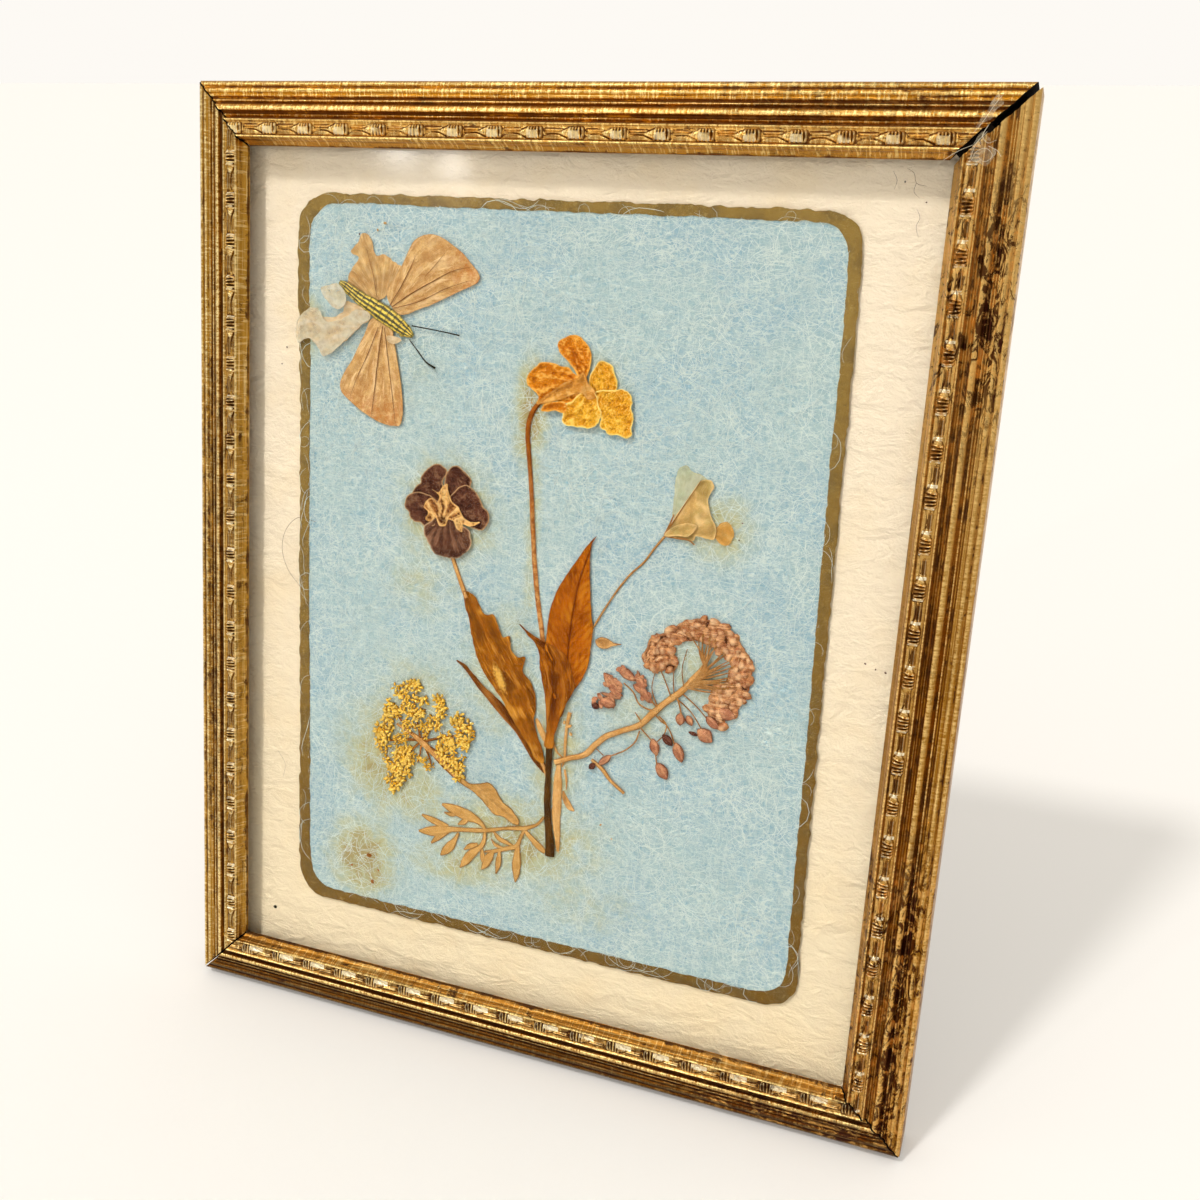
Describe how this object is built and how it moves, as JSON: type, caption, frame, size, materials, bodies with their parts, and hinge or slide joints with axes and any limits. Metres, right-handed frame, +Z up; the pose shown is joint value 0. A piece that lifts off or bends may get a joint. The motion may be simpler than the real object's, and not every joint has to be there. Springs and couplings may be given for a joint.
{
  "type": "pressed flower frame",
  "caption": "Small leaning easel frame of stamped gilt brass, glazed, holding pressed flowers, leaves and a pressed moth on a blue panel with a gold border.",
  "frame": {"origin": "centre of the bounding box at floor level, with the frame standing on its easel strut", "axes": "+X to the right across the frame's face, +Y towards the back, +Z up; the face leans back 10.5 degrees"},
  "size_m": [0.14, 0.0488, 0.1685],
  "materials": {
    "gilt_brass": "stamped, gilt, tarnished red-brown in the hollows",
    "easel_brass": "plain sheet, dull",
    "hinge_steel": "worn",
    "glass": "polished, slightly dusty",
    "gold_paper": "torn gold paper, matte",
    "blue_tissue": "fibrous handmade tissue with olive stains",
    "cream_card": "matte cream",
    "backing_board": "dark matte board",
    "moth_body": "dried insect body, yellow and black",
    "moth_antenna": "dried insect feeler, black",
    "moth_wing": "scaled dry wing, mottled brown",
    "viola_petal": "dry petal, orange and yellow",
    "pansy_petal": "dry petal, dark purple with a tan throat",
    "pale_petal": "thin dry petal",
    "umbel_floret": "dry yellow florets",
    "raceme_bud": "dry pink-brown buds",
    "dry_stem": "dry straw-coloured stem",
    "dry_leaf": "dry brown leaf",
    "dark_leaf": "dry dark brown leaf"
  },
  "bodies": {
    "frame": {"backing_board": "backing_board", "blue_panel": "blue_tissue", "fern_leaf": "dry_stem", "glass_pane": "glass", "gold_border": "gold_paper", "hinge_bracket": "easel_brass", "hinge_pin": "hinge_steel", "leaf_centre": "dry_leaf", "leaf_folded": "dark_leaf", "leaf_left": "dry_leaf", "leaf_thin": "dark_leaf", "main_stem": "dark_leaf", "moth_antenna_lower": "moth_antenna", "moth_antenna_upper": "moth_antenna", "moth_body": "moth_body", "moth_forewing": "moth_wing", "moth_lower_wing": "moth_wing", "moth_pale_wing": "moth_wing", "moth_torn_wing": "moth_wing", "mount_card": "cream_card", "pale_back_petal": "pale_petal", "pale_front_petal": "pale_petal", "pale_side_petal": "pale_petal", "pale_stem": "dry_stem", "pansy_bottom_petal": "pansy_petal", "pansy_left_petal": "pansy_petal", "pansy_right_petal": "pansy_petal", "pansy_stem": "dry_stem", "pansy_upper_left_petal": "pansy_petal", "pansy_upper_right_petal": "pansy_petal", "raceme_bud_lowest": "raceme_bud", "raceme_bud_middle": "raceme_bud", "raceme_buds_far_left": "raceme_bud", "raceme_buds_left": "raceme_bud", "raceme_head": "raceme_bud", "raceme_seed": "dry_stem", "raceme_stalk": "dry_stem", "raceme_twig": "dry_stem", "rail_bottom": "gilt_brass", "rail_left": "gilt_brass", "rail_right": "gilt_brass", "rail_top": "gilt_brass", "straw_stem": "dry_stem", "umbel_bract": "dry_stem", "umbel_florets_left": "umbel_floret", "umbel_florets_long": "umbel_floret", "umbel_florets_lower_left": "umbel_floret", "umbel_florets_lower_right": "umbel_floret", "umbel_florets_right": "umbel_floret", "umbel_florets_top": "umbel_floret", "umbel_stalk": "dry_stem", "viola_bottom_petal": "viola_petal", "viola_left_petal": "viola_petal", "viola_lower_right_petal": "viola_petal", "viola_stem": "dry_stem", "viola_top_petal": "viola_petal", "viola_upper_right_petal": "viola_petal"},
    "strut": {"easel_strut": "easel_brass"}
  },
  "joints": [
    {"name": "strut_hinge", "type": "hinge", "parent": "frame", "child": "strut", "pos_m": [0, 0.00573, 0.10792], "axis": [1, 0, 0], "range_deg": [-20, 0]}
  ]
}
